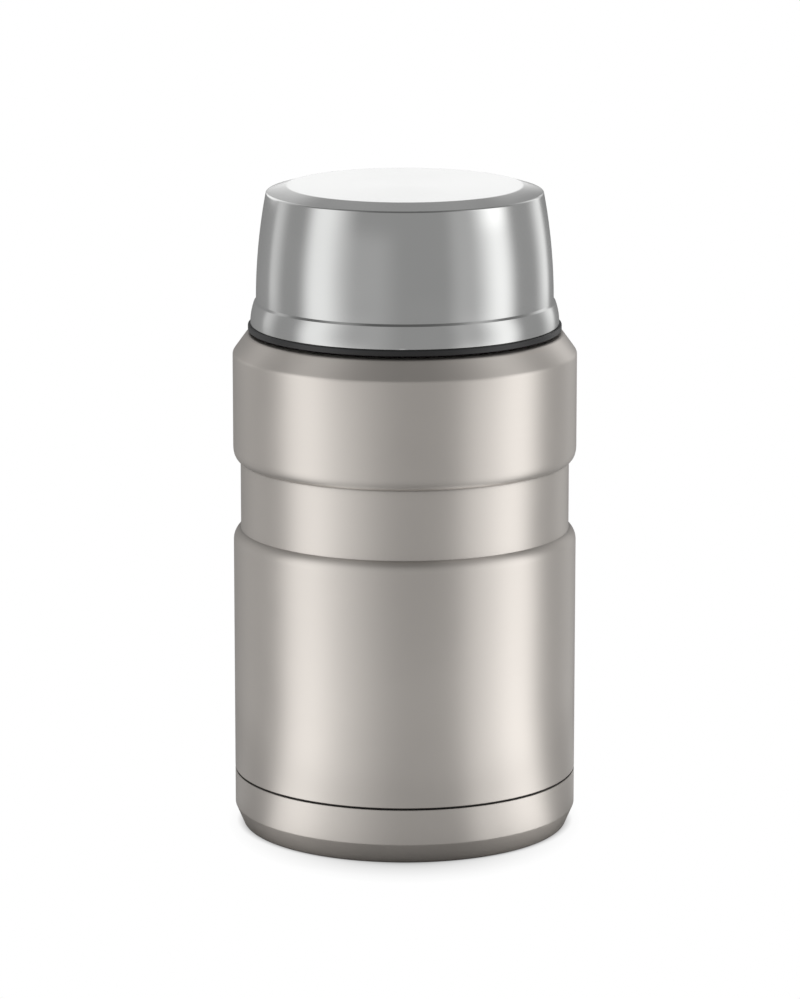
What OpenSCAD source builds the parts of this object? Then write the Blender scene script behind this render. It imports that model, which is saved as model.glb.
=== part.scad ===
// Insulated food jar: a double-walled steel vacuum jar, a screw-on stopper and a
// steel lid that screws onto the stopper and turns over to serve as a bowl.
// Millimetres, +Z up, origin at the middle of the face that the jar stands on.

/* [Jar body] */
// Outside diameter of the jar
body_d = 108; // [104:0.5:120]
// Height of the steel body, up to the ledge around the neck
body_h = 158.3; // [152:0.1:200]
// Thickness of the outer steel skin
skin_t = 0.6; // [0.5:0.1:0.9]
// Height of the shoulder cone below the ledge
shoulder_h = 6.4; // [5:0.1:9]
// Rounding between the upper band and the shoulder
shoulder_round = 2; // [1:0.5:4]
// Height of the upper band and its rounded lower edge
upper_band_h = 34; // [26:0.5:40]
// Height of the rounded lower edge of the upper band
upper_round_h = 4.9; // [3:0.1:8]
// Height of the recessed waist
waist_h = 21.8; // [12:0.1:30]
// Depth of the recessed waist
waist_in = 2.3; // [1:0.1:3]
// Height of the rounded upper edge of the lower band
lower_round_h = 4.1; // [3:0.1:8]

/* [Base] */
// Height of the steel base cap
base_h = 17.8; // [15:0.1:24]
// Open seam between the base cap and the body
seam_gap = 0.4; // [0.3:0.1:0.8]
// Height of the chamfer around the foot
foot_chamfer_h = 6.5; // [3:0.1:8]
// Width of the chamfer around the foot
foot_chamfer_w = 2.8; // [1:0.1:5]
// Width of the flat ring that the jar stands on
foot_ring_w = 7; // [4:0.5:12]
// Depth of the recess inside the foot ring
foot_recess = 1.6; // [0.8:0.1:2]
// Thickness of the sealing compound between cap and body
seal_t = 0.2; // [0.2:0.05:0.4]
// Height of the vacuum bottom above the standing face
vacuum_floor_z = 7; // [7:0.1:8]
// Height of the turned-up rim of the vacuum bottom
vacuum_rim_h = 5; // [4.5:0.5:7]
// Diameter of the evacuation hole
evac_hole_d = 2; // [1:0.5:3]
// Diameter of the dimple around the evacuation hole
dimple_d = 12; // [10:1:18]
// Depth of the dimple around the evacuation hole
dimple_h = 1.4; // [1:0.1:1.8]

/* [Liner] */
// Inside diameter of the food space
liner_d = 86; // [82:0.5:92]
// Thickness of the liner sheet
liner_t = 0.5; // [0.4:0.1:0.8]
// Height of the food space floor above the standing face
liner_floor_z = 15; // [15:0.1:20]
// Rounding between the floor and the wall of the food space
liner_round = 8; // [4:1:12]
// Height of the liner pan, up to its weld
liner_pan_h = 12; // [12:1:20]
// Height over which the liner narrows to the mouth
liner_neck_h = 9; // [8:0.5:14]
// Thickness of the radiation foil around the liner
foil_t = 0.2; // [0.1:0.1:0.4]
// Bare height of liner left below and above the foil
foil_margin = 6; // [4:1:12]
// Diameter of the getter pellet
getter_d = 9; // [6:0.5:12]
// Thickness of the getter pellet
getter_h = 2.2; // [1.5:0.1:2.8]
// Distance of the getter from the jar axis
getter_r = 22; // [16:1:28]
// Thickness of the getter clip strip
clip_t = 0.4; // [0.3:0.1:0.6]
// Width of the getter clip strip
clip_w = 4; // [3:0.5:6]
// Length of each foot of the getter clip
clip_foot = 4; // [3:0.5:6]

/* [Neck] */
// Inside diameter of the mouth
mouth_d = 76; // [72:0.5:77]
// Height of the neck above the ledge
neck_h = 14; // [13.5:0.1:16]
// Vacuum gap between the two walls of the neck
neck_gap = 0.9; // [0.6:0.1:1.2]

/* [Threads] */
// Number of thread starts
thread_starts = 3; // [2:1:4]
// Distance between neighbouring ridges
thread_pitch = 4; // [4:0.1:4.4]
// Height of a ridge above its wall
thread_depth = 1; // [0.8:0.1:1.2]
// Width of a ridge at its wall
thread_root_w = 2.2; // [1.6:0.1:2.4]
// Width of a ridge at its crest
thread_crest_w = 1; // [0.6:0.1:1.2]
// Angle that one ridge covers
thread_arc = 150; // [110:1:160]
// Radial gap between a crest and the wall facing it
thread_clear = 0.4; // [0.3:0.05:0.5]

/* [Stopper] */
// Height of the open gap between the ledge and the stopper ring
flange_gap = 0.75; // [0.5:0.05:1.2]
// Thickness of the stopper ring
flange_t = 1.85; // [1.5:0.05:2.5]
// Width of the stopper ring outside the bowl rim
flange_lip = 0.75; // [0.4:0.05:1.5]
// Width of the ledge outside the stopper ring
ledge_margin = 0.35; // [0.2:0.05:0.8]
// Wall of the threaded skirt
skirt_t = 1.6; // [1.4:0.1:1.8]
// Thickness of the sealing gasket
gasket_t = 1.5; // [1.2:0.1:2.5]
// Gap between the gasket and the walls beside it
gasket_clear = 0.3; // [0.25:0.05:0.5]
// Thickness of the ring that joins skirt and plug
crown_t = 2; // [1.5:0.1:3]
// Depth of the plug below the lip
plug_depth = 36; // [28:1:44]
// Gap between the plug and the mouth
plug_clear = 0.6; // [0.4:0.1:1]
// Wall of the plug
plug_t = 1.8; // [1.4:0.1:2.4]
// Rounding of the plug's lower edge
plug_round = 5; // [3:0.5:8]
// Gap between the cover's wall and the plug
cover_clear = 0.2; // [0.1:0.05:0.3]
// Thickness of the cover
cover_t = 1.6; // [1.2:0.1:2.2]
// Thickness of the cover's top ring
cover_ring_t = 2; // [1.5:0.1:3]
// Depth of the finger wells
well_depth = 15; // [11:0.5:18]
// Width of the grip bar
grip_w = 15; // [12:0.5:20]
// Height of the grip bar above the cover's top ring
grip_rise = 3; // [1:0.5:6]
// Rounding of the grip bar's upper edges
grip_round = 3; // [1:0.5:5]

/* [Bowl lid] */
// Height of the lid from its rim to its top
lid_h = 43.3; // [41:0.1:50]
// Gap between the lid's rim and the stopper ring
rim_gap = 0.3; // [0.3:0.05:0.6]
// Height of the flared rim band
flare_h = 7.4; // [5:0.1:10]
// Width by which the rim band flares out
flare_w = 1.8; // [1:0.1:2.4]
// Width by which the side curves in towards the top
side_in = 3.3; // [1:0.1:5]
// Height of the shallow cone around the flat top
top_cone_h = 2; // [1:0.1:3]
// Diameter of the flat top
top_flat_d = 73.8; // [60:0.2:76]
// Rounding of the edge between side and top
top_round = 0.8; // [0.7:0.1:2]
// Wall of the threaded collar
collar_t = 1.5; // [1.3:0.1:2]
// Gap filled with glue between the collar and the skin
glue_t = 0.1; // [0.05:0.05:0.2]
// Set-back of the collar above the steel rim
collar_setback = 0.3; // [0.2:0.1:0.8]
// Thickness of the foam space between the lid's two walls
insulation_t = 3.2; // [2.6:0.1:4]
// Gap around the foam
foam_clear = 0.3; // [0.25:0.05:0.4]
// Gap between the lid and the top of the stopper
crown_gap = 0.3; // [0.3:0.05:0.8]
// Rounding between the floor and the wall of the bowl
bowl_round = 7; // [4:0.5:10]

/* [Hidden] */
$fn = 96;

// Steps along a rounded stretch of an outline
arc_steps = 10;
// Steps along one thread ridge, and those over which each end fades
ridge_steps = 24;
ridge_fade = 3;
// Depth by which a ridge is rooted in its wall
ridge_root = 0.3;
// Bare wall below the lowest ridge of the neck and of the collar
neck_ridge_gap = 0.5;
collar_ridge_gap = 0.4;
// Share of the dimple's depth that the solder bead fills
bead_fill = 0.7;
// Length by which a cut runs past the faces it cuts
cut_over = 1;
// Rounding of folded steel and of moulded edges
fold_r = 1;
edge_r = 0.35;
// Rounding of the vacuum bottom's rim, and of the liner's bends below the mouth
vacuum_rim_r = 3;
liner_bend_r = 4;

body_r = body_d / 2;
liner_r = liner_d / 2;
mouth_r = mouth_d / 2;
lead = thread_pitch * thread_starts;
ridge_rise = lead * thread_arc / 360;

// Radii from the mouth outwards, through both threads to the lid's skin
neck_r = mouth_r + liner_t + neck_gap + skin_t;
skirt_in_r = neck_r + thread_depth + thread_clear;
skirt_r = skirt_in_r + skirt_t;
collar_in_r = skirt_r + thread_depth + thread_clear;
crease_r = collar_in_r + collar_t + glue_t + skin_t;
rim_r = crease_r + flare_w;
flange_r = rim_r + flange_lip;
ledge_r = flange_r + ledge_margin;
plug_r = mouth_r - plug_clear;
plug_in_r = plug_r - plug_t;
cover_r = plug_in_r - cover_clear;
well_r = cover_r - cover_t;

// Heights of the body's outline
waist_r = body_r - waist_in;
shoulder_z = body_h - shoulder_h;
waist_top_z = shoulder_z - upper_band_h;
waist_low_z = waist_top_z - waist_h;
seam_z = base_h + seam_gap;

// Heights of the neck and the stopper
lip_round = (neck_r - mouth_r) / 2;
lip_z = body_h + neck_h;
weld_z = lip_z - lip_round;
flange_z = body_h + flange_gap;
flange_top_z = flange_z + flange_t;
crown_z = lip_z + gasket_t;
crown_top_z = crown_z + crown_t;
cover_top_z = crown_top_z + cover_ring_t;
plug_z = lip_z - plug_depth;
foam_z = plug_z + plug_t;
well_z = cover_top_z - well_depth;

// Heights of the lid, and the depth of the bowl's wall below its outer face
rim_z = flange_top_z + rim_gap;
crease_z = rim_z + flare_h;
lid_top_z = rim_z + lid_h;
side_top_z = lid_top_z - top_cone_h;
side_h = side_top_z - crease_z;
collar_z = rim_z + collar_setback;
collar_ledge_z = crown_top_z + crown_gap;
collar_top_z = cover_top_z + crown_gap;
bowl_ceiling_z = lid_top_z - skin_t - insulation_t - liner_t;
bowl_depth_t = skin_t + insulation_t + liner_t;

// Heights of the threads, at the lower end of each ridge's centre line
neck_ridge_z = flange_top_z + thread_root_w / 2 + neck_ridge_gap;
skirt_ridge_in_z = neck_ridge_z - thread_pitch / 2;
collar_ridge_z = collar_z + thread_root_w / 2 + collar_ridge_gap;
skirt_ridge_out_z = collar_ridge_z + thread_pitch / 2;

function unit(v) = v / norm(v);
function left_of(a, b) = let (d = unit(b - a)) [-d[1], d[0]];
function turn(a) = a > 180 ? a - 360 : a < -180 ? a + 360 : a;
function reversed(p) = [for (i = [len(p) - 1:-1:0]) p[i]];

// The path p moved sideways by t, to its left when t is positive
function beside(p, t) = [
    for (i = [0:len(p) - 1])
    let (
        last = len(p) - 1,
        n0 = i == 0 ? left_of(p[0], p[1]) : left_of(p[i - 1], p[i]),
        n1 = i == last ? n0 : left_of(p[i], p[i + 1]),
        m = unit(n0 + n1)
    )
    p[i] + m * t / (m * n1)
];

// The corner b between a and c, rounded with radius r
function corner(a, b, c, r, steps = arc_steps) =
    let (
        u = unit(a - b),
        v = unit(c - b),
        half = acos(u * v) / 2,
        o = b + unit(u + v) * r / sin(half),
        s = b + u * r / tan(half) - o,
        e = b + v * r / tan(half) - o,
        a0 = atan2(s[1], s[0]),
        sweep = turn(atan2(e[1], e[0]) - a0)
    )
    [for (i = [0:steps]) let (a = a0 + sweep * i / steps) o + r * [cos(a), sin(a)]];

// Radius of an arc that leaves its tangent by w over a height h
function bulge_r(h, w) = (h * h + w * w) / (2 * w);
// Distance of that arc from its tangent at the height y, for a skin t deeper
function bulge(h, w, y, t = 0) =
    let (r = bulge_r(h, w)) r - sqrt(pow(r - t, 2) - y * y);
// The same arc as points that start on its tangent
function bulge_arc(h, w, steps = arc_steps) =
    let (r = bulge_r(h, w), end = asin(h / r))
    [for (i = [0:steps]) let (a = end * i / steps) [r * (1 - cos(a)), r * sin(a)]];

// Radius of the lid's surface at the height z, t below the outer face
function lid_r(z, t = 0) = z < crease_z
    ? max(rim_r - bulge(flare_h, flare_w, z - rim_z, t), crease_r - t)
    : crease_r - bulge(side_h, side_in, z - crease_z, t);
function lid_side(z0, z1, t) = [
    for (i = [0:arc_steps]) let (z = z0 + (z1 - z0) * i / arc_steps) [lid_r(z, t), z]
];

module revolve(p) {
    rotate_extrude() polygon(p);
}

// A sheet of thickness t to the left of the path p
module sheet(p, t) {
    revolve(concat(p, reversed(beside(p, t))));
}

// One ridge of a thread on a wall of radius r, outwards or inwards
module ridge(r, z, out) {
    rows = [
        for (i = [0:ridge_steps])
        let (
            a = thread_arc * i / ridge_steps,
            zi = z + lead * a / 360,
            full = min(1, i / ridge_fade, (ridge_steps - i) / ridge_fade),
            low = r - out * ridge_root,
            high = r + out * (thread_depth * full - ridge_root / 2 * (1 - full))
        )
        for (p = [
            [low, zi - thread_root_w / 2], [low, zi + thread_root_w / 2],
            [high, zi + thread_crest_w / 2], [high, zi - thread_crest_w / 2]
        ])
        [p[0] * cos(a), p[0] * sin(a), p[1]]
    ];
    last = 4 * ridge_steps;
    sides = [
        for (i = [0:ridge_steps - 1], k = [0:3])
        let (p = 4 * i + k, q = 4 * i + (k + 1) % 4) [p, q, q + 4, p + 4]
    ];
    faces = concat(sides, [[3, 2, 1, 0], [last, last + 1, last + 2, last + 3]]);
    polyhedron(rows, out > 0 ? [for (f = faces) reversed(f)] : faces, convexity = 4);
}

module ridges(r, z, out) {
    for (k = [0:thread_starts - 1])
        rotate(360 * k / thread_starts) ridge(r, z, out);
}

module outer_shell() {
    tuck_r = body_r - skin_t - seal_t;
    low = bulge_arc(lower_round_h, waist_in);
    high = bulge_arc(upper_round_h, waist_in);
    shoulder = [body_r, shoulder_z];
    ledge = [ledge_r, body_h];
    color("#a09c96") {
        sheet(concat(
            [[tuck_r, vacuum_floor_z], [tuck_r, seam_z], [body_r, seam_z]],
            [for (p = low) [body_r - p[0], waist_low_z - lower_round_h + p[1]]],
            [for (p = reversed(high)) [body_r - p[0], waist_top_z + upper_round_h - p[1]]],
            corner([body_r, waist_top_z], shoulder, ledge, shoulder_round),
            corner(shoulder, ledge, [neck_r, body_h], fold_r),
            corner(ledge, [neck_r, body_h], [neck_r, weld_z], fold_r),
            [[neck_r, weld_z]]
        ), skin_t);
        ridges(neck_r, neck_ridge_z, 1);
    }
}

module base_cap() {
    foot_r = body_r - foot_chamfer_w;
    recess_r = foot_r - foot_ring_w;
    recess = [recess_r - foot_recess, foot_recess];
    foot_in = [recess_r, 0];
    foot = [foot_r, 0];
    heel = [body_r, foot_chamfer_h];
    color("#96928c") sheet(concat(
        [[0, foot_recess]],
        corner([0, foot_recess], recess, foot_in, fold_r),
        corner(recess, foot_in, foot, fold_r),
        corner(foot_in, foot, heel, fold_r),
        corner(foot, heel, [body_r, base_h], fold_r),
        [[body_r, base_h]]
    ), skin_t);
}

module base_seal_ring() {
    cap_in_r = body_r - skin_t;
    tuck_r = cap_in_r - seal_t;
    color("#1f1f1f") revolve([
        [tuck_r, vacuum_floor_z + seal_t], [cap_in_r, vacuum_floor_z + seal_t],
        [cap_in_r, base_h], [cap_in_r + seal_t, base_h],
        [cap_in_r + seal_t, seam_z], [tuck_r, seam_z]
    ]);
}

module vacuum_bottom() {
    rim_out_r = body_r - 2 * skin_t - seal_t;
    dimple_z = vacuum_floor_z + dimple_h;
    dimple_r = dimple_d / 2;
    rim = [rim_out_r, vacuum_floor_z];
    color("#8d8b87") sheet(concat(
        [[evac_hole_d / 2, dimple_z], [dimple_r, dimple_z]],
        [[dimple_r + dimple_h, vacuum_floor_z]],
        corner([0, vacuum_floor_z], rim, rim + [0, vacuum_rim_h], vacuum_rim_r),
        [rim + [0, vacuum_rim_h]]
    ), skin_t);
}

module seal_bead() {
    dimple_z = vacuum_floor_z + dimple_h;
    bead_r = dimple_d / 2 - fold_r;
    bead_h = bead_fill * dimple_h;
    dome = bulge_arc(bead_r, bead_h);
    color("#33363a") {
        revolve([for (p = concat([[bead_h, 0]], dome)) [p[1], dimple_z - bead_h + p[0]]]);
        translate([0, 0, dimple_z]) cylinder(d = evac_hole_d, h = skin_t);
    }
}

module inner_liner() {
    neck_z = body_h - skin_t;
    bend = [liner_r, neck_z - liner_neck_h];
    throat = [mouth_r, neck_z];
    inside = concat(
        [[liner_r, liner_floor_z + liner_pan_h]],
        corner([liner_r, liner_floor_z], bend, throat, liner_bend_r),
        corner(bend, throat, [mouth_r, lip_z], liner_bend_r),
        [[mouth_r, weld_z]]
    );
    lip = [
        for (i = [0:arc_steps])
        let (a = 180 - 180 * i / arc_steps)
        [mouth_r + lip_round * (1 + cos(a)), weld_z + lip_round * sin(a)]
    ];
    color("#b4b4b2") revolve(concat(inside, lip, reversed(beside(inside, -liner_t))));
}

module liner_pan() {
    heel = [liner_r, liner_floor_z];
    color("#adadab") sheet(concat(
        [[0, liner_floor_z]],
        corner([0, liner_floor_z], heel, heel + [0, liner_pan_h], liner_round),
        [heel + [0, liner_pan_h]]
    ), -liner_t);
}

module radiation_foil() {
    foil_r = liner_r + liner_t;
    foil_z = liner_floor_z + liner_pan_h + foil_margin;
    foil_top_z = body_h - skin_t - liner_neck_h - foil_margin;
    color("#b87348") translate([0, 0, foil_z]) difference() {
        cylinder(r = foil_r + foil_t, h = foil_top_z - foil_z);
        translate([0, 0, -cut_over])
            cylinder(r = foil_r, h = foil_top_z - foil_z + 2 * cut_over);
    }
}

module getter() {
    color("#5c5c5e") translate([getter_r, 0, liner_floor_z - liner_t - getter_h])
        cylinder(d = getter_d, h = getter_h);
}

module getter_clip() {
    top_z = liner_floor_z - liner_t;
    leg_x = getter_d / 2;
    foot_x = leg_x + clip_t + clip_foot;
    color("#9a9a98") translate([getter_r - clip_w / 2, 0, top_z]) rotate([90, 0, 90])
        linear_extrude(clip_w) polygon([
            [-foot_x, 0], [-foot_x, -clip_t], [-leg_x - clip_t, -clip_t],
            [-leg_x - clip_t, -getter_h - clip_t], [leg_x + clip_t, -getter_h - clip_t],
            [leg_x + clip_t, -clip_t], [foot_x, -clip_t], [foot_x, 0],
            [leg_x, 0], [leg_x, -getter_h], [-leg_x, -getter_h], [-leg_x, 0]
        ]);
}

module stopper_body() {
    heel = [plug_r, plug_z];
    toe = [flange_r, flange_z];
    brow = [flange_r, flange_top_z];
    crown = [skirt_r, crown_top_z];
    color("#2b2c2b") {
        revolve(concat(
            [[0, plug_z]],
            corner([0, plug_z], heel, [plug_r, lip_z], plug_round),
            [[plug_r, crown_z], [skirt_in_r, crown_z], [skirt_in_r, flange_z]],
            corner([skirt_in_r, flange_z], toe, brow, edge_r),
            corner(toe, brow, [skirt_r, flange_top_z], edge_r),
            [[skirt_r, flange_top_z]],
            corner([skirt_r, flange_top_z], crown, [0, crown_top_z], fold_r),
            [[plug_in_r, crown_top_z]],
            corner([plug_in_r, crown_top_z], [plug_in_r, foam_z], [0, foam_z], plug_round - plug_t),
            [[0, foam_z]]
        ));
        ridges(skirt_in_r, skirt_ridge_in_z, -1);
        ridges(skirt_r, skirt_ridge_out_z, 1);
    }
}

module stopper_cover() {
    ring_r = skirt_r - fold_r - edge_r;
    grip_top_z = cover_top_z + grip_rise;
    brow = [ring_r, cover_top_z];
    crest = [grip_w / 2, grip_top_z];
    color("#262726") {
        revolve(concat(
            [[0, well_z - cover_t], [cover_r, well_z - cover_t], [cover_r, crown_top_z]],
            [[ring_r, crown_top_z]],
            corner([ring_r, crown_top_z], brow, [0, cover_top_z], edge_r),
            corner([ring_r, cover_top_z], [well_r, cover_top_z], [well_r, well_z], edge_r),
            corner([well_r, cover_top_z], [well_r, well_z], [0, well_z], fold_r),
            [[0, well_z]]
        ));
        intersection() {
            translate([-cover_r, 0, 0]) rotate([90, 0, 90]) linear_extrude(2 * cover_r) polygon(concat(
                [[-grip_w / 2, well_z - cover_t / 2], [grip_w / 2, well_z - cover_t / 2]],
                corner([grip_w / 2, well_z], crest, [0, grip_top_z], grip_round),
                corner([0, grip_top_z], [-grip_w / 2, grip_top_z], [-grip_w / 2, well_z], grip_round)
            ));
            revolve(concat(
                [[0, well_z - cover_t / 2], [well_r + edge_r, well_z - cover_t / 2]],
                [[well_r + edge_r, cover_top_z - edge_r]],
                [for (p = reversed(bulge_arc(well_r - edge_r, grip_rise))) [p[1], grip_top_z - p[0]]]
            ));
        }
    }
}

module stopper_foam() {
    foam_r = plug_in_r - cover_clear;
    color("#e6e2d4") revolve(concat(
        [[0, foam_z]],
        corner([0, foam_z], [foam_r, foam_z], [foam_r, well_z], plug_round - plug_t),
        [[foam_r, well_z - cover_t], [0, well_z - cover_t]]
    ));
}

module stopper_gasket() {
    inner = plug_r + gasket_clear;
    outer = skirt_in_r - gasket_clear;
    color("#b9bbb8") revolve(concat(
        [[inner, lip_z], [outer - edge_r, lip_z]],
        corner([inner, lip_z], [outer, lip_z], [outer, crown_z], edge_r),
        [[outer, crown_z], [inner, crown_z]]
    ));
}

module bowl_shell() {
    side_top = [lid_r(side_top_z), side_top_z];
    flat_edge = [top_flat_d / 2, lid_top_z];
    low = [lid_r(side_top_z - side_h / arc_steps), side_top_z - side_h / arc_steps];
    color("#b9bab8") sheet(concat(
        lid_side(rim_z, crease_z, 0),
        [for (p = lid_side(crease_z, low[1], 0)) if (p[1] > crease_z) p],
        corner(low, side_top, flat_edge, top_round),
        corner(side_top, flat_edge, [0, lid_top_z], fold_r),
        [[0, lid_top_z]]
    ), skin_t);
}

module bowl_collar() {
    depth = skin_t + glue_t;
    color("#242524") {
        revolve(concat(
            [[collar_in_r, collar_z]],
            lid_side(collar_z, crease_z, depth),
            [for (p = lid_side(crease_z, collar_top_z, depth)) if (p[1] > crease_z) p],
            [[lid_r(collar_top_z, bowl_depth_t), collar_top_z]],
            [[lid_r(collar_top_z, bowl_depth_t), collar_ledge_z], [collar_in_r, collar_ledge_z]]
        ));
        ridges(collar_in_r, collar_ridge_z, -1);
    }
}

module bowl_liner() {
    side = lid_side(collar_top_z, bowl_ceiling_z, bowl_depth_t);
    wall = [for (p = side) if (p[1] < bowl_ceiling_z - bowl_round) p];
    heel = [lid_r(bowl_ceiling_z, bowl_depth_t), bowl_ceiling_z];
    flange_edge = [lid_r(collar_top_z, skin_t + foam_clear), collar_top_z];
    color("#b4b4b2") sheet(concat(
        [flange_edge],
        wall,
        corner(wall[len(wall) - 1], heel, [0, bowl_ceiling_z], bowl_round - fold_r),
        [[0, bowl_ceiling_z]]
    ), -liner_t);
}

module bowl_foam() {
    z0 = collar_top_z + liner_t;
    inside_t = skin_t + insulation_t - foam_clear;
    outside_t = skin_t + foam_clear;
    top_in = [0, bowl_ceiling_z + liner_t + foam_clear];
    top_out = [0, lid_top_z - skin_t - foam_clear];
    heel = [lid_r(top_in[1], inside_t), top_in[1]];
    inner = lid_side(z0, bowl_ceiling_z - bowl_round, inside_t);
    outer = lid_side(z0, side_top_z - fold_r - skin_t, outside_t);
    flat_edge = [top_flat_d / 2 - fold_r, top_out[1]];
    color("#e6e2d4") revolve(concat(
        inner,
        corner(inner[len(inner) - 1], heel, top_in, bowl_round - fold_r),
        [top_in, top_out, flat_edge],
        reversed(outer)
    ));
}

outer_shell();
base_cap();
base_seal_ring();
vacuum_bottom();
seal_bead();
inner_liner();
liner_pan();
radiation_foil();
getter();
getter_clip();
stopper_body();
stopper_cover();
stopper_foam();
stopper_gasket();
bowl_shell();
bowl_collar();
bowl_liner();
bowl_foam();
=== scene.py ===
# %% [markdown]
# # An insulated food jar
# The jar is a double-walled steel can. A black plastic stopper screws onto its neck, and a
# steel lid screws onto the stopper. Turned over, the lid is a bowl.
# The exact solids of every piece come first, as a fixed frame. This lesson then gives the
# pieces that show a finer surface, puts a finish on every one, and lights them as in a
# small studio. Lengths on the jar are written in millimetres and multiplied by MM.

# %% Load the frame
import math

import bpy
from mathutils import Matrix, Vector


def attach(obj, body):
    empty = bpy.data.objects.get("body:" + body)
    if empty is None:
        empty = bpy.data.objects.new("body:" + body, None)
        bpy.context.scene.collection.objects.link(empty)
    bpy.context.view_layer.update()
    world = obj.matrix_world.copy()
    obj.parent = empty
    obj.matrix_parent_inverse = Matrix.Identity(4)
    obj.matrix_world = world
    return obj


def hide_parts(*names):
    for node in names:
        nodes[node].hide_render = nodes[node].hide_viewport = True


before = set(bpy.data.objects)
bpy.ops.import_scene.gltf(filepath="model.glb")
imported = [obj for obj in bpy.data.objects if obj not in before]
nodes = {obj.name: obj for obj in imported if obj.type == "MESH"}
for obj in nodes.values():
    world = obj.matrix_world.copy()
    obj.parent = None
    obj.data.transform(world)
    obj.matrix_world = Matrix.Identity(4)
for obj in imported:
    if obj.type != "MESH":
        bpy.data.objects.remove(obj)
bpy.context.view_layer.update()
MM = 0.001

# %% [markdown]
# ## Camera
# A long lens from a metre and a half away keeps the jar's sides nearly parallel. The camera
# stands a little above the lid and looks down by twelve degrees.

# %% Place the camera
EYE = (-0.0015, -1.510, 0.4285)
LOOK_DOWN = 12.12
LENS = 176.3

bpy.ops.object.camera_add(location=EYE, rotation=(math.radians(90 - LOOK_DOWN), 0, 0))
camera = bpy.context.object
camera.name = "camera"
camera.data.lens = LENS
camera.data.sensor_width = 36
camera.data.clip_start = 0.05
camera.data.clip_end = 20
bpy.context.scene.camera = camera
print("camera", LENS, "mm at", EYE)

# %% [markdown]
# ## Nodes by hand
# Every finish below is a tree of shader nodes. One helper adds a node and fills its inputs,
# either with a value or with a link from another node. The others build on it.

# %% Helpers that add nodes
def add_node(tree, kind, inputs=None, **settings):
    """Add a node to a tree, set its properties and fill its inputs by name or number."""
    node = tree.nodes.new(kind)
    for name, value in settings.items():
        setattr(node, name, value)
    for name, value in (inputs or {}).items():
        if isinstance(value, bpy.types.NodeSocket):
            tree.links.new(value, node.inputs[name])
        else:
            node.inputs[name].default_value = value
    return node


def math_node(tree, operation, *values, clamp=False):
    """Add a math node and return its result."""
    node = add_node(
        tree, "ShaderNodeMath", dict(enumerate(values)), operation=operation, use_clamp=clamp
    )
    return node.outputs[0]


def smooth_step(tree, value, low, high, to_low=0.0, to_high=1.0):
    """A soft step of a value from one number to another."""
    node = add_node(
        tree,
        "ShaderNodeMapRange",
        {"Value": value, "From Min": low, "From Max": high, "To Min": to_low, "To Max": to_high},
        interpolation_type="SMOOTHSTEP",
    )
    return node.outputs["Result"]


def plateau(tree, value, start, full, still, end):
    """A soft rise of a value from 0 to 1, then a soft fall back to 0."""
    up = smooth_step(tree, value, start, full)
    down = smooth_step(tree, value, still, end, 1.0, 0.0)
    return math_node(tree, "MULTIPLY", up, down)


def blank_material(name):
    """A new material with an empty tree of nodes."""
    material = bpy.data.materials.new(name)
    material.use_nodes = True
    material.node_tree.nodes.clear()
    return material


def white_glow(tree, strength):
    """Add a node that glows white, with a strength that is a value or a link."""
    return add_node(tree, "ShaderNodeEmission", {"Color": (1, 1, 1, 1), "Strength": strength})


def set_surface(tree, shader):
    """Make a shader the surface of its material."""
    add_node(tree, "ShaderNodeOutputMaterial", {"Surface": shader.outputs[0]})


# %% [markdown]
# ## Studio
# A satin cylinder shows nothing but its surroundings, so the light is most of the look. The
# jar stands on a pale floor inside a light tent, a tall drum of cloth that glows softly and
# is hidden from the camera. Feathered panels on the left and right are bright, narrower ones
# glow behind, and the rest is dim, so the middle of the steel stays grey.
#
# The floor and the room are white to the eye. Close to the jar the floor has a painted shadow,
# longer in front than at the sides, and a painted dark line at the foot. The steel mirrors the
# white floor too, but beside the foot it shows a painted shade, which is as wide at the sides
# as in front.

# %% Lay the floor
FLOOR_SIDE = 24.0
FLOOR_CELLS = 12
CONTACT_FROM = 0.0500
CONTACT_TO = 0.0540
CONTACT_CURVE = 0.6
SHADOW_FROM = 0.0505
SHADOW_TO = 0.0735
SHADOW_CURVE = 0.26
SHADOW_NARROW = 1.3
SHADOW_GREY = 0.35
FLOOR_GREY = 0.78
SHADE_FROM = 0.060
SHADE_TO = 0.075
GREY_TO = 0.12
WHITE_FROM = 0.30
SHEEN_FROM = 0.30
SHEEN_FULL = 0.65

bpy.ops.object.select_all(action="DESELECT")
bpy.ops.mesh.primitive_grid_add(
    size=FLOOR_SIDE, x_subdivisions=FLOOR_CELLS, y_subdivisions=FLOOR_CELLS
)
floor = bpy.context.object
floor.name = "floor"

floor_paint = blank_material("pale floor")
tree = floor_paint.node_tree
spot = add_node(tree, "ShaderNodeTexCoord").outputs["Object"]
away = add_node(tree, "ShaderNodeVectorMath", {0: spot}, operation="LENGTH").outputs["Value"]
ray = add_node(tree, "ShaderNodeLightPath").outputs
narrowing = math_node(tree, "MULTIPLY_ADD", ray["Is Camera Ray"], SHADOW_NARROW - 1.0, 1.0)
narrowing = add_node(tree, "ShaderNodeCombineXYZ", {"X": narrowing, "Y": 1.0, "Z": 1.0})
narrowed = add_node(
    tree, "ShaderNodeVectorMath", {0: spot, 1: narrowing.outputs[0]}, operation="MULTIPLY"
)
oval_away = add_node(tree, "ShaderNodeVectorMath", {0: narrowed.outputs[0]}, operation="LENGTH")


def rise(distance, low, high, curve):
    """How clear of the painted shadow the floor is, from 0 to 1, quickly at first and then
    slowly.
    """
    share = math_node(tree, "SUBTRACT", distance, low)
    share = math_node(tree, "DIVIDE", share, high - low, clamp=True)
    return math_node(tree, "POWER", share, curve)


# Painted shadow: close to the foot the floor's grey darkens and its white glow fades, by
# distance alone.
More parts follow.
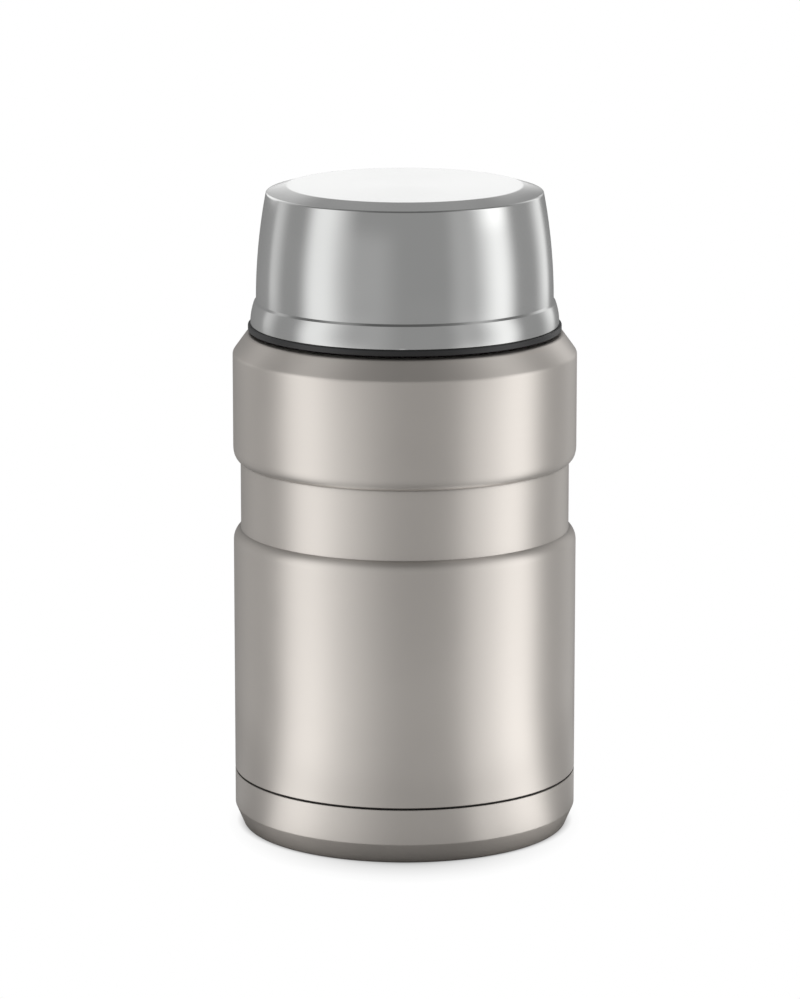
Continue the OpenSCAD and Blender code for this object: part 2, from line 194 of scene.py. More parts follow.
contact = rise(away, CONTACT_FROM, CONTACT_TO, CONTACT_CURVE)
clear = rise(oval_away.outputs["Value"], SHADOW_FROM, SHADOW_TO, SHADOW_CURVE)
grey = math_node(tree, "MULTIPLY_ADD", clear, FLOOR_GREY - SHADOW_GREY, SHADOW_GREY)
grey = math_node(tree, "MULTIPLY", grey, contact)
clear = math_node(tree, "MINIMUM", clear, contact)
matt = add_node(tree, "ShaderNodeBsdfDiffuse", {"Color": grey})
glow = white_glow(tree, 1.0)
mirrored = math_node(tree, "MAXIMUM", ray["Is Glossy Ray"], ray["Is Transmission Ray"])
slant = add_node(tree, "ShaderNodeLayerWeight", {"Blend": 0.5}).outputs["Facing"]
sheen = smooth_step(tree, slant, SHEEN_FROM, SHEEN_FULL)
# Painted shade in the steel: near the foot, rays that mirror the floor see no white glow.
sheen = math_node(tree, "MULTIPLY", sheen, smooth_step(tree, away, SHADE_FROM, SHADE_TO))
sheen = math_node(tree, "MAXIMUM", sheen, smooth_step(tree, away, GREY_TO, WHITE_FROM))
lift = math_node(tree, "MULTIPLY", mirrored, sheen)
lift = math_node(tree, "MAXIMUM", ray["Is Camera Ray"], lift)
lift = math_node(tree, "MULTIPLY", lift, clear)
both = add_node(
    tree, "ShaderNodeMixShader", {0: lift, 1: matt.outputs[0], 2: glow.outputs[0]}
)
set_surface(tree, both)
floor.data.materials.append(floor_paint)
print("floor", FLOOR_SIDE, "m wide")

# %% Fill the room with light
# The room lights matt surfaces dimly, but looks white to the eye and in what mirrors it.
ROOM_LIGHT = 0.22

world = bpy.data.worlds.new("room")
bpy.context.scene.world = world
world.use_nodes = True
tree = world.node_tree
ray = add_node(tree, "ShaderNodeLightPath").outputs
seen = math_node(tree, "MAXIMUM", ray["Is Camera Ray"], ray["Is Glossy Ray"])
seen = math_node(tree, "MAXIMUM", seen, ray["Is Transmission Ray"])
strength = math_node(tree, "MULTIPLY_ADD", seen, 1.0 - ROOM_LIGHT, ROOM_LIGHT)
sky = tree.nodes["Background"].inputs
sky["Color"].default_value = (1, 1, 1, 1)
tree.links.new(strength, sky["Strength"])
print("room light", ROOM_LIGHT)

# %% [markdown]
# The tent's hem is drawn in towards the foot, because a satin surface blurs what it mirrors,
# and the base would otherwise pick up the white floor around it. The cloth is bright where
# its panels are, has a window behind the lid for the flat top to mirror, and above the hem it
# looks dimmer to a ray that meets it at a slant, so that sloping metal shows as darker than
# upright metal. A dim roof closes the tent, so that the lid's fine step mirrors little light.

# %% Hang the light tent
TENT_R = 0.09
TENT_H = 0.36
TENT_SIDES = 96
HEM_R = 0.064
HEM_H = 0.030
TENT_FRONT = 0.46
TENT_BACK = 0.20
TENT_BACK_LID = 0.27
TENT_BACK_TOP = 0.68
SLANT_GLOW = 0.35
HEM_GLOW = 0.85
ROOF_GLOW = 0.22
WINDOW_LIGHT = 1.03
# Where a change of the light starts and is full: the rear in degrees from the camera's side,
# the slant from 0 for a ray that meets the cloth squarely, and the others in metres.
REAR = (95, 150)
SLANT = (0.17, 0.40)
HEM_ZONE = (0.020, 0.035)
LID_ZONE = (0.14, 0.17)
ABOVE_ZONE = (0.197, 0.207)
BACK_TOP_ZONE = (0.24, 0.32)
WINDOW_Y = (0.01, 0.03)
# Where the window starts, is full, is still full, and ends, in metres.
WINDOW_X = (-0.067, -0.036, 0.037, 0.058)
WINDOW_Z = (0.201, 0.205, 0.240, 0.275)
# Each panel: side (1 right, -1 left), brightness beside the body, beside the lid and above,
# and the angles from the camera's side at which it starts, is full, is still full, and ends.
PANELS = [
    (-1, 0.90, 0.93, 0.95, 27, 51, 56, 70),
    (-1, 0.28, 0.00, 0.00, 11, 32, 38, 54),
    (-1, 0.14, 0.14, 0.00, 0, 17, 28, 42),
    (1, 0.24, 0.20, 0.20, 22, 34, 62, 77),
    (1, 0.96, 0.98, 1.45, 39, 60, 62, 77),
    (1, 0.32, 0.00, 0.00, 20, 40, 45, 57),
    (-1, 0.12, 0.46, 0.46, 82, 96, 100, 103),
    (-1, 0.00, 0.00, 1.10, 100, 112, 130, 143),
    (1, 0.34, 0.88, 0.72, 92, 112, 114, 121),
    (1, 0.00, 0.00, 0.40, 105, 115, 132, 145),
    (-1, 0.60, 0.50, 0.00, 153, 172, 181, 182),
    (1, 0.60, 0.50, 0.00, 153, 172, 181, 182),
]

bpy.ops.object.select_all(action="DESELECT")
bpy.ops.mesh.primitive_cone_add(
    vertices=TENT_SIDES,
    radius1=HEM_R,
    radius2=TENT_R,
    depth=HEM_H,
    end_fill_type="NOTHING",
    location=(0, 0, HEM_H / 2),
)
hem = bpy.context.object
hem.name = "tent_hem"
bpy.ops.mesh.primitive_cylinder_add(
    vertices=TENT_SIDES,
    radius=TENT_R,
    depth=TENT_H - HEM_H,
    end_fill_type="NOTHING",
    location=(0, 0, (TENT_H + HEM_H) / 2),
)
tent = bpy.context.object
tent.name = "light_tent"
bpy.ops.mesh.primitive_circle_add(
    vertices=TENT_SIDES, radius=TENT_R, fill_type="NGON", location=(0, 0, TENT_H)
)
roof = bpy.context.object
roof.name = "tent_roof"

cloth = blank_material("glowing cloth")
tree = cloth.node_tree
spot = add_node(tree, "ShaderNodeNewGeometry").outputs["Position"]
split = add_node(tree, "ShaderNodeSeparateXYZ", {0: spot}).outputs
frontward = math_node(tree, "MULTIPLY", split["Y"], -1.0)
turn = math_node(tree, "DEGREES", math_node(tree, "ARCTAN2", split["X"], frontward))
rear = smooth_step(tree, math_node(tree, "ABSOLUTE", turn), *REAR)
back_glow = smooth_step(tree, split["Z"], *LID_ZONE, TENT_BACK, TENT_BACK_LID)
higher = smooth_step(tree, split["Z"], *BACK_TOP_ZONE, 0.0, TENT_BACK_TOP - TENT_BACK_LID)
back_glow = math_node(tree, "ADD", back_glow, higher)
more = math_node(tree, "SUBTRACT", back_glow, TENT_FRONT)
glow_level = math_node(tree, "MULTIPLY_ADD", more, rear, TENT_FRONT)
for side, beside_body, beside_lid, above, *angles in PANELS:
    angle = math_node(tree, "MULTIPLY", turn, float(side))
    panel = smooth_step(tree, split["Z"], *LID_ZONE, beside_body, beside_lid)
    higher = smooth_step(tree, split["Z"], *ABOVE_ZONE, 0.0, above - beside_lid)
    panel = math_node(tree, "ADD", panel, higher)
    panel = math_node(tree, "MULTIPLY", panel, plateau(tree, angle, *angles))
    glow_level = math_node(tree, "ADD", glow_level, panel)
window = smooth_step(tree, split["Y"], *WINDOW_Y, 0.0, WINDOW_LIGHT)
for axis, limits in (("X", WINDOW_X), ("Z", WINDOW_Z)):
    window = math_node(tree, "MULTIPLY", window, plateau(tree, split[axis], *limits))
glow_level = math_node(tree, "ADD", glow_level, window)
slant = add_node(tree, "ShaderNodeLayerWeight", {"Blend": 0.5}).outputs["Facing"]
dimmed = smooth_step(tree, slant, *SLANT, 1.0, SLANT_GLOW)
at_hem = smooth_step(tree, split["Z"], *HEM_ZONE, HEM_GLOW, 0.0)
dimmed = math_node(tree, "MAXIMUM", dimmed, at_hem)
set_surface(tree, white_glow(tree, math_node(tree, "MULTIPLY", glow_level, dimmed)))

dim_cloth = blank_material("dim cloth")
set_surface(dim_cloth.node_tree, white_glow(dim_cloth.node_tree, ROOF_GLOW))
for sheet, fabric in ((hem, cloth), (tent, cloth), (roof, dim_cloth)):
    sheet.data.materials.append(fabric)
    sheet.visible_camera = False
print("tent with", len(PANELS), "panels")

# %% Hang the lamp overhead
LAMP_SIDE = 0.8
LAMP_Z = 1.0
LAMP_LIGHT = 0.18

bpy.ops.object.light_add(type="AREA", location=(0, 0, LAMP_Z))
overhead = bpy.context.object
overhead.name = "overhead_lamp"
overhead.data.size = LAMP_SIDE
overhead.data.energy = LAMP_LIGHT * math.pi * LAMP_SIDE**2
overhead.visible_camera = False
print("overhead lamp", LAMP_LIGHT)

# %% [markdown]
# ## Outlines
# Nearly every piece of the jar is turned, pressed or moulded round, so each starts as an
# outline of radius and height. Corners are rounded first, because real folded steel and
# moulded plastic have no sharp corners, and it is the rounding that catches the light.

# %% Helpers that draw outlines
LEAST_STEPS = 4
DEGREES_A_STEP = 8


def rounded(points):
    """An outline whose corners (radius, height, rounding) are replaced with arcs."""
    outline = []
    for i, point in enumerate(points):
        if len(point) == 2:
            outline.append(Vector(point))
            continue
        before, corner, after = (Vector(points[k][:2]) for k in (i - 1, i, i + 1))
        u = (before - corner).normalized()
        v = (after - corner).normalized()
        half = u.angle(v) / 2
        reach = point[2] / math.tan(half)
        centre = corner + (u + v).normalized() * point[2] / math.sin(half)
        first = corner + u * reach - centre
        last = corner + v * reach - centre
        start = math.atan2(first.y, first.x)
        sweep = math.atan2(last.y, last.x) - start
        sweep = (sweep + math.pi) % (2 * math.pi) - math.pi
        steps = max(LEAST_STEPS, math.ceil(abs(math.degrees(sweep)) / DEGREES_A_STEP))
        for k in range(steps + 1):
            angle = start + sweep * k / steps
            outline.append(centre + point[2] * Vector((math.cos(angle), math.sin(angle))))
    return outline


def bulge(height, inward, steps=16):
    """An arc that leaves the vertical and drifts inward over a height."""
    radius = (height**2 + inward**2) / (2 * inward)
    end = math.asin(height / radius)
    angles = [end * k / steps for k in range(steps + 1)]
    return [(radius * (1 - math.cos(a)), radius * math.sin(a)) for a in angles]


def oval(height, inward, steps=6):
    """A quarter of an oval that leaves the vertical and ends level.

    It has few steps, because points that crowd together look like an edge to the edge mask.
    """
    angles = [math.pi / 2 * k / steps for k in range(steps + 1)]
    return [(inward * (1 - math.cos(a)), height * math.sin(a)) for a in angles]


def held(outline, gap=0.4):
    """Extra points beside each corner, so that smooth shading keeps long faces straight.

    An end on the axis gets none. A tiny ring there would look like an edge to the edge mask.
    """
    points = [outline[0]]
    for before, after in zip(outline, outline[1:]):
        span = (after - before).length
        if span > 3 * gap:
            step = (after - before) * gap / span
            beside = ((before, before + step), (after, after - step))
            points += [point for end, point in beside if end.x > 0]
        points.append(after)
    return points


# %% [markdown]
# ## Turning a piece
# A plane is merged into a single point, the point is extruded along the outline, and the
# outline is spun round the jar's axis. This is the quickest way to a round piece with exact
# sizes, and it leaves clean rings of faces.

# %% Helpers that turn a piece on the lathe
TURN_STEPS = 192
WELD = 0.004 * MM
EASE_STEPS = 3
EASE_ANGLE = 60
SMOOTH_ANGLE = 35


def lathe(name, outline):
    """Spin an outline round the axis; it may be open, closed, or start and end on the axis."""
    bpy.ops.object.select_all(action="DESELECT")
    bpy.ops.mesh.primitive_plane_add(size=MM, enter_editmode=True)
    piece = bpy.context.object
    piece.name = piece.data.name = name
    bpy.ops.mesh.merge(type="CENTER")
    bpy.ops.transform.translate(value=(outline[0].x * MM, 0, outline[0].y * MM))
    for before, after in zip(outline, outline[1:]):
        step = (after - before) * MM
        bpy.ops.mesh.extrude_vertices_move(
            TRANSFORM_OT_translate={"value": (step.x, 0, step.y)}
        )
    bpy.ops.mesh.select_all(action="SELECT")
    bpy.ops.mesh.spin(steps=TURN_STEPS, angle=2 * math.pi, center=(0, 0, 0), axis=(0, 0, 1))
    bpy.ops.mesh.select_all(action="SELECT")
    bpy.ops.mesh.remove_doubles(threshold=WELD)
    bpy.ops.mesh.normals_make_consistent(inside=False)
    bpy.ops.object.mode_set(mode="OBJECT")
    return piece


def apply_modifier(piece, kind, **settings):
    """Add a modifier, set it and apply it to the mesh."""
    modifier = piece.modifiers.new(kind.title(), kind)
    for name, value in settings.items():
        setattr(modifier, name, value)
    bpy.context.view_layer.objects.active = piece
    bpy.ops.object.modifier_apply(modifier=modifier.name)


def make_sheet(piece, thickness, edge=0.15):
    """Give a turned surface the thickness of its sheet metal, inwards, with eased edges."""
    apply_modifier(piece, "SOLIDIFY", thickness=thickness * MM, offset=-1, use_even_offset=True)
    apply_modifier(
        piece,
        "BEVEL",
        width=edge * MM,
        segments=EASE_STEPS,
        limit_method="ANGLE",
        angle_limit=math.radians(EASE_ANGLE),
    )


def place(piece, body, slot, *stands_for):
    """Shade a piece, let it ride on its body and stand for its solids."""
    bpy.ops.object.select_all(action="DESELECT")
    piece.select_set(True)
    bpy.context.view_layer.objects.active = piece
    bpy.ops.object.shade_smooth_by_angle(angle=math.radians(SMOOTH_ANGLE))
    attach(piece, body)
    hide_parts(*stands_for)
    print(piece.name, len(piece.data.polygons), "faces on", body)


# %% [markdown]
# ## Threads
# The neck's thread is rolled into the sheet and the plastic threads are moulded. Both are
# low ridges with three starts. A fine band of rings is pushed out of the wall by a Displace
# modifier, and a vertex group says how far each point moves.

# %% Helpers that raise a thread
STARTS = 3
PITCH = 4.0
LEAD = STARTS * PITCH
RIDGE_ARC = 150.0
RIDGE_FADE = 18.75
RIDGE_DEPTH = 1.0
RIDGE_ROOT = 2.2
RIDGE_CREST = 1.0
THREAD_ROW = 0.2
WALL_SLACK = 0.01


def rows(radius, low, high):
    """Close rows of points up or down a straight wall, for a thread."""
    count = math.ceil(abs(high - low) / THREAD_ROW)
    return [Vector((radius, low + (high - low) * k / count)) for k in range(count + 1)]


def ridge_height(angle, height, first):
    """How far the wall stands out at a place, from 0 to 1."""
    best = 0.0
    for start in range(STARTS):
        along = (angle - 360 / STARTS * start) % 360
        if along > RIDGE_ARC:
            continue
        off = abs(height - first - LEAD * along / 360)
        flank = (RIDGE_ROOT / 2 - off) / (RIDGE_ROOT / 2 - RIDGE_CREST / 2)
        end = min(along, RIDGE_ARC - along) / RIDGE_FADE
        shape = max(0.0, min(1.0, flank)) * min(1.0, end)
        best = max(best, shape * shape * (3 - 2 * shape))
    return best


def raise_thread(piece, radius, low, high, first):
    """Push a thread out of a piece's wall of that radius, between two heights."""
    group = piece.vertex_groups.new(name="thread")
    for vertex in piece.data.vertices:
        x, y, z = vertex.co / MM
        off_wall = abs(math.hypot(x, y) - radius) > WALL_SLACK
        if off_wall or not low <= z <= high:
            continue
        weight = ridge_height(math.degrees(math.atan2(y, x)), z, first)
        if weight > 0:
            group.add([vertex.index], weight, "REPLACE")
    apply_modifier(
        piece,
        "DISPLACE",
        vertex_group="thread",
        strength=RIDGE_DEPTH * MM,
        mid_level=0,
        direction="NORMAL",
    )
    piece.vertex_groups.clear()


# %% [markdown]
# ## Jar body
# The outer can is drawn from one sheet: a straight lower band, a recessed waist with a
# rounded edge above and below, an upper band, a sloping shoulder and the neck with its
# rolled thread. Its lower end is tucked in behind the base cap. The edge below the waist is
# a plain arc. The one above is a quarter of an oval that ends level, so that the upper band
# stays upright almost to the waist and then turns under in a sharp shade line.

# %% Turn the outer can
BODY_R = 54.0
SKIN = 0.6
TUCK_R = 53.2
TUCK_Z = 7.0
SEAM_Z = 18.2
WAIST_R = 51.7
LOW_BAND_TOP = 92.0
WAIST_LOW = 96.1
WAIST_TOP = 117.9
HIGH_BAND_LOW = 121.9
SHOULDER_Z = 151.9
LEDGE = (49.5, 158.1)
NECK_R = 40.0
WELD_Z = 171.3
NECK_THREAD_Z = 162.5
BELOW_THREAD = 1.5

low_rise = WAIST_LOW - LOW_BAND_TOP
low_edge = [(BODY_R - x, LOW_BAND_TOP + y) for x, y in bulge(low_rise, BODY_R - WAIST_R)]
high_drop = HIGH_BAND_LOW - WAIST_TOP
high_edge = [(BODY_R - x, HIGH_BAND_LOW - y) for x, y in oval(high_drop, BODY_R - WAIST_R)]
low_edge[-1] = (WAIST_R, WAIST_LOW, 0.4)
high_edge[-1] = (WAIST_R, WAIST_TOP, 0.15)
outer_face = rounded(
    [(TUCK_R, TUCK_Z), (TUCK_R, SEAM_Z, 0.15), (BODY_R, SEAM_Z, 0.3)]
    + low_edge
    + high_edge[::-1]
    + [(BODY_R, SHOULDER_Z, 2), (*LEDGE, 1.4), (NECK_R, LEDGE[1], 1), (NECK_R, WELD_Z)]
)
thread_low = NECK_THREAD_Z - BELOW_THREAD
thread_rows = rows(NECK_R, thread_low, WELD_Z - 2 * THREAD_ROW)
outer_face = held(outer_face[:-1] + thread_rows[:1]) + thread_rows[1:] + outer_face[-1:]
jar_skin = lathe("jar_skin", outer_face)
raise_thread(jar_skin, NECK_R, thread_low, WELD_Z, NECK_THREAD_Z)
make_sheet(jar_skin, SKIN)
place(jar_skin, "jar", "body_steel", "outer_shell")

# %% [markdown]
# ## Base cap
# A shallow pressed cap closes the bottom. It has a chamfer around the foot, a flat ring to
# stand on and a raised middle, and it meets the can in an open seam.

# %% Press the base cap
FOOT_R = 51.2
RING_IN_R = 44.2
RECESS = 1.6
CHAMFER_Z = 6.5
CAP_TOP = 17.6

cap_face = rounded([
    (0, RECESS),
    (RING_IN_R - RECESS, RECESS, 1),
    (RING_IN_R, 0, 1),
    (FOOT_R, 0, 1),
    (BODY_R, CHAMFER_Z, 1),
    (BODY_R, CAP_TOP),
])
foot_cap = lathe("foot_cap", held(cap_face))
make_sheet(foot_cap, SKIN, 0.2)
place(foot_cap, "jar", "body_steel", "base_cap")

# %% [markdown]
# ## Lining
# The inner can holds the food. Its wall narrows to the mouth, and its top is welded to the
# neck in a rolled lip, which is what one drinks and eats over. A pan closes its bottom.

# %% Turn the lining and its pan
LINER_R = 43.0
LINER_T = 0.5
PAN_TOP = 27.0
LINER_BEND = 148.7
THROAT_Z = 157.7
MOUTH_R = 38.0
LIP_R = (NECK_R - MOUTH_R) / 2
LIP_STEPS = 16
BEND_R = 4.0
FOOD_FLOOR = 15.0

lip_angles = [math.pi * k / LIP_STEPS for k in range(LIP_STEPS + 1)]
lip = [
    Vector((MOUTH_R + LIP_R * (1 - math.cos(a)), WELD_Z + LIP_R * math.sin(a)))
    for a in lip_angles
]
food_wall = rounded([
    (LINER_R, PAN_TOP),
    (LINER_R, LINER_BEND, BEND_R),
    (MOUTH_R, THROAT_Z, BEND_R),
    (MOUTH_R, WELD_Z),
])
back_wall = rounded([
    (MOUTH_R + LINER_T, WELD_Z),
    (MOUTH_R + LINER_T, THROAT_Z + LINER_T / 2, BEND_R - LINER_T),
    (LINER_R + LINER_T, LINER_BEND + LINER_T / 2, BEND_R + LINER_T),
    (LINER_R + LINER_T, PAN_TOP),
    (LINER_R, PAN_TOP),
])
jar_lining = lathe("jar_lining", held(food_wall[:-1] + lip) + held(back_wall))
place(jar_lining, "jar", "inner_steel", "inner_liner")

pan_face = rounded([(LINER_R, PAN_TOP), (LINER_R, FOOD_FLOOR, 8), (0, FOOD_FLOOR)])
lining_pan = lathe("lining_pan", held(pan_face))
make_sheet(lining_pan, -LINER_T, 0.1)
place(lining_pan, "jar", "inner_steel", "liner_pan")

# %% [markdown]
# ## Stopper
# The stopper is one black moulding: a hollow plug that reaches into the mouth, a threaded
# skirt that screws over the neck, and the ring that shows as a black line under the lid.

# %% Mould the stopper
RING_R = 49.15
RING_LOW = 159.05
RING_TOP = 160.9
SKIRT_IN_R = 41.4
SKIRT_R = 43.0
CROWN_Z = 173.8
CROWN_TOP = 175.8
PLUG_R = 37.4
PLUG_IN_R = 35.6
PLUG_Z = 136.3
PLUG_FLOOR = 138.1
SKIRT_IN_LOW = 159.4
SKIRT_IN_TOP = 168.0
SKIRT_OUT_LOW = 163.2
SKIRT_OUT_TOP = 172.6
SKIRT_THREAD_IN = 160.5
SKIRT_THREAD_OUT = 165.0

plug_side = held(rounded([
    (0, PLUG_Z), (PLUG_R, PLUG_Z, 5), (PLUG_R, CROWN_Z, 0.4), (SKIRT_IN_R, CROWN_Z, 0.4),
    (SKIRT_IN_R, SKIRT_IN_TOP + 2 * THREAD_ROW),
]))
skirt_in = rows(SKIRT_IN_R, SKIRT_IN_TOP, SKIRT_IN_LOW)
ring_side = held(rounded([
    (SKIRT_IN_R, SKIRT_IN_LOW), (SKIRT_IN_R, RING_LOW, 0.25), (RING_R, RING_LOW, 0.35),
    (RING_R, RING_TOP, 0.35), (SKIRT_R, RING_TOP, 0.4), (SKIRT_R, SKIRT_OUT_LOW - THREAD_ROW),
]))[1:]
skirt_out = rows(SKIRT_R, SKIRT_OUT_LOW, SKIRT_OUT_TOP)
crown_side = held(rounded([
    (SKIRT_R, SKIRT_OUT_TOP + 2 * THREAD_ROW), (SKIRT_R, CROWN_TOP, 1),
    (PLUG_IN_R, CROWN_TOP, 0.3), (PLUG_IN_R, PLUG_FLOOR, 3.2), (0, PLUG_FLOOR),
]))
stopper_shell = lathe(
    "stopper_shell", plug_side + skirt_in + ring_side + skirt_out + crown_side
)
raise_thread(stopper_shell, SKIRT_IN_R, SKIRT_IN_LOW, SKIRT_IN_TOP, SKIRT_THREAD_IN)
raise_thread(stopper_shell, SKIRT_R, SKIRT_OUT_LOW, SKIRT_OUT_TOP, SKIRT_THREAD_OUT)
place(stopper_shell, "stopper", "black_plastic", "stopper_body")

# %% [markdown]
# ## Gasket
# A silicone ring sits inside the stopper and is pressed onto the lip. Two shallow grooves on
# its underside leave three sealing ribs.

# %% Mould the gasket
GASKET_IN = 37.7
GASKET_OUT = 41.1
LIP_Z = 172.3
GROOVES = (38.5, 39.9)
GROOVE_HALF = 0.2
GROOVE_DEEP = 0.25

under = [(GASKET_IN, LIP_Z, 0.3)]
for groove in GROOVES:
    under += [
        (groove - GROOVE_HALF, LIP_Z),
        (groove, LIP_Z + GROOVE_DEEP),
        (groove + GROOVE_HALF, LIP_Z),
    ]
under.append((GASKET_OUT, LIP_Z, 0.35))
gasket_outline = rounded(
    [(GASKET_IN, CROWN_Z)] + under + [(GASKET_OUT, CROWN_Z), (GASKET_IN, CROWN_Z)]
)
sealing_ring = lathe("sealing_ring", gasket_outline)
place(sealing_ring, "stopper_lift", "silicone", "stopper_gasket")

# %% [markdown]
# ## Lid
# The lid's skin is pressed from steel. Its side curves in towards a shallow cone around the
# flat top, which is the foot of the bowl. The cone meets the flat top in a plain corner, which
# smooth shading softens. Lower down a small sloping step stands out from the side, and below
# it the rim flares a little wider. The step is what shows as a fine line.

# %% Press the lid's skin
RIM_R = 48.4
RIM_Z = 161.0
CREASE_R = 46.6
CREASE_Z = 167.9
STEP = 0.6
STEP_RISE = 0.7
SIDE_TOP = 202.5
LID_TOP = 204.5
FLAT_R = 36.9
SIDE_IN = 3.3
BESIDE_CREASE = 0.01
STEP_CLEAR = 0.2
CORNER_CLEAR = 2.0
SIDE_BOW = ((SIDE_TOP - CREASE_Z) ** 2 + SIDE_IN**2) / (2 * SIDE_IN)
FLARE_OUT = RIM_R - CREASE_R - STEP
FLARE_BOW = ((CREASE_Z - RIM_Z) ** 2 + FLARE_OUT**2) / (2 * FLARE_OUT)


def lid_radius(z, inset=0.0):
    """Radius of the lid at a height, a little below its outer face when inset."""
    if z < CREASE_Z:
        sag = FLARE_BOW - math.sqrt((FLARE_BOW - inset) ** 2 - (z - RIM_Z) ** 2)
        return max(RIM_R - sag, CREASE_R - inset)
    sag = SIDE_BOW - math.sqrt((SIDE_BOW - inset) ** 2 - (z - CREASE_Z) ** 2)
    return CREASE_R - sag


def lid_side(low, high, inset=0.0, steps=16):
    """Points up the lid's side between two heights."""
    heights = [low + (high - low) * k / steps for k in range(steps + 1)]
    return [(lid_radius(z, inset), z) for z in heights]


lid_face = rounded(
    lid_side(RIM_Z, CREASE_Z - BESIDE_CREASE)[:-1]
    + [(CREASE_R + STEP, CREASE_Z, 0.1), (CREASE_R, CREASE_Z + STEP_RISE, 0.15)]
    + lid_side(CREASE_Z + STEP_RISE + STEP_CLEAR, SIDE_TOP - CORNER_CLEAR)
    + [(lid_radius(SIDE_TOP), SIDE_TOP, 0.8), (FLAT_R, LID_TOP), (0, LID_TOP)]
)
lid_skin = lathe("lid_skin", held(lid_face))
make_sheet(lid_skin, SKIN, 0.22)
place(lid_skin, "bowl_lid", "lid_steel", "bowl_shell")

# %% [markdown]
# ## Collar and bowl
# Inside the lid a black collar carries the thread, and above it a pressed steel bowl holds
# the food once the lid is turned over.

# %% Mould the collar
COLLAR_IN_R = 44.4
COLLAR_Z = 161.5
COLLAR_LEDGE = 176.1
COLLAR_TOP = 178.1
COLLAR_THREAD = 163.0
COLLAR_THREAD_TOP = 170.6
COLLAR_EASE = 0.2
COLLAR_INSET = 0.7
BOWL_INSET = 4.3
bowl_edge = lid_radius(COLLAR_TOP, BOWL_INSET)

collar_in = rows(COLLAR_IN_R, COLLAR_THREAD_TOP, COLLAR_Z + COLLAR_EASE)
collar_rim = rounded([
    (COLLAR_IN_R, COLLAR_Z + COLLAR_EASE),
    (COLLAR_IN_R + COLLAR_EASE, COLLAR_Z),
    (lid_radius(COLLAR_Z, COLLAR_INSET) - COLLAR_EASE, COLLAR_Z),
])
collar_out = lid_side(COLLAR_Z + COLLAR_EASE, CREASE_Z - STEP_RISE, COLLAR_INSET, 8)
collar_out += lid_side(CREASE_Z + BESIDE_CREASE, COLLAR_TOP, COLLAR_INSET, 8)
collar_head = rounded([
    (bowl_edge, COLLAR_TOP), (bowl_edge, COLLAR_LEDGE, 0.3), (COLLAR_IN_R, COLLAR_LEDGE, 0.3),
    (COLLAR_IN_R, COLLAR_THREAD_TOP + THREAD_ROW), (COLLAR_IN_R, COLLAR_THREAD_TOP),
])
collar_outline = collar_in + collar_rim[1:] + [Vector(p) for p in collar_out] + held(collar_head)
lid_collar = lathe("lid_collar", collar_outline)
raise_thread(
    lid_collar, COLLAR_IN_R, COLLAR_Z + COLLAR_EASE, COLLAR_THREAD_TOP, COLLAR_THREAD
)
place(lid_collar, "bowl_lid", "black_plastic", "bowl_collar")

# %% Press the bowl
BOWL_CEILING = 200.2
FLANGE_R = lid_radius(COLLAR_TOP, 0.9)

bowl_face = rounded(
    [(FLANGE_R, COLLAR_TOP), (bowl_edge, COLLAR_TOP, 0.4)]
    + lid_side(COLLAR_TOP + 1, BOWL_CEILING - 7.5, BOWL_INSET, 8)
    + [(lid_radius(BOWL_CEILING, BOWL_INSET), BOWL_CEILING, 6), (0, BOWL_CEILING)]
)
bowl_lining = lathe("bowl_lining", held(bowl_face))
make_sheet(bowl_lining, -LINER_T, 0.1)
place(bowl_lining, "bowl_lid", "inner_steel", "bowl_liner")

# %% [markdown]
# ## Effects that the finishes share
# Steel, plastic and rubber all show the same few things: lines from turning, a fine grain,
# faint clouds from handling and wear along the edges, which on the lid is also a painted
# highlight. The folds get painted shade, a darker colour where light does not reach. Each is a
# node group with its own inputs, built once and used in every finish. The folds are found with
# the Ambient Occlusion node, which measures how much of the space in front of a point its own
# piece leaves open.


# %% Node groups
def new_group(name, inputs, output):
    """An empty shader node group with named inputs and one named output."""
    group = bpy.data.node_groups.new(name, "ShaderNodeTree")
    for label, kind, value in inputs:
        socket = group.interface.new_socket(
            name=label, in_out="INPUT", socket_type="NodeSocket" + kind
        )
        if value is not None:
            socket.default_value = value
    group.interface.new_socket(name=output, in_out="OUTPUT", socket_type="NodeSocketFloat")
    return group, group.nodes.new("NodeGroupInput").outputs, group.nodes.new("NodeGroupOutput")


turned_lines, given, result = new_group(
    "turned lines",
    [("Vector", "Vector", None), ("Lines", "Float", 4000.0), ("Drift", "Float", 20.0)],
    "Height",
)
split = add_node(turned_lines, "ShaderNodeSeparateXYZ", {0: given["Vector"]})
flat = add_node(
    turned_lines, "ShaderNodeCombineXYZ", {"X": split.outputs["X"], "Y": split.outputs["Y"]}
)
radius = add_node(turned_lines, "ShaderNodeVectorMath", {0: flat.outputs[0]}, operation="LENGTH")
along = math_node(turned_lines, "SUBTRACT", split.outputs["Z"], radius.outputs["Value"])
stretched = add_node(
    turned_lines,
    "ShaderNodeCombineXYZ",
    {
        "X": math_node(turned_lines, "MULTIPLY", split.outputs["X"], given["Drift"]),
        "Y": math_node(turned_lines, "MULTIPLY", split.outputs["Y"], given["Drift"]),
        "Z": math_node(turned_lines, "MULTIPLY", along, given["Lines"]),
    },
)
streaks = add_node(
    turned_lines,
    "ShaderNodeTexNoise",
    {"Vector": stretched.outputs[0], "Scale": 1.0, "Detail": 3.0, "Roughness": 0.6},
)
turned_lines.links.new(streaks.outputs[0], result.inputs["Height"])

fine_grain, given, result = new_group(
    "fine grain", [("Vector", "Vector", None), ("Scale", "Float", 5000.0)], "Height"
)
specks = add_node(
    fine_grain,
    "ShaderNodeTexNoise",
    {"Vector": given["Vector"], "Scale": given["Scale"], "Detail": 2.0, "Roughness": 0.55},
)
fine_grain.links.new(specks.outputs[0], result.inputs["Height"])

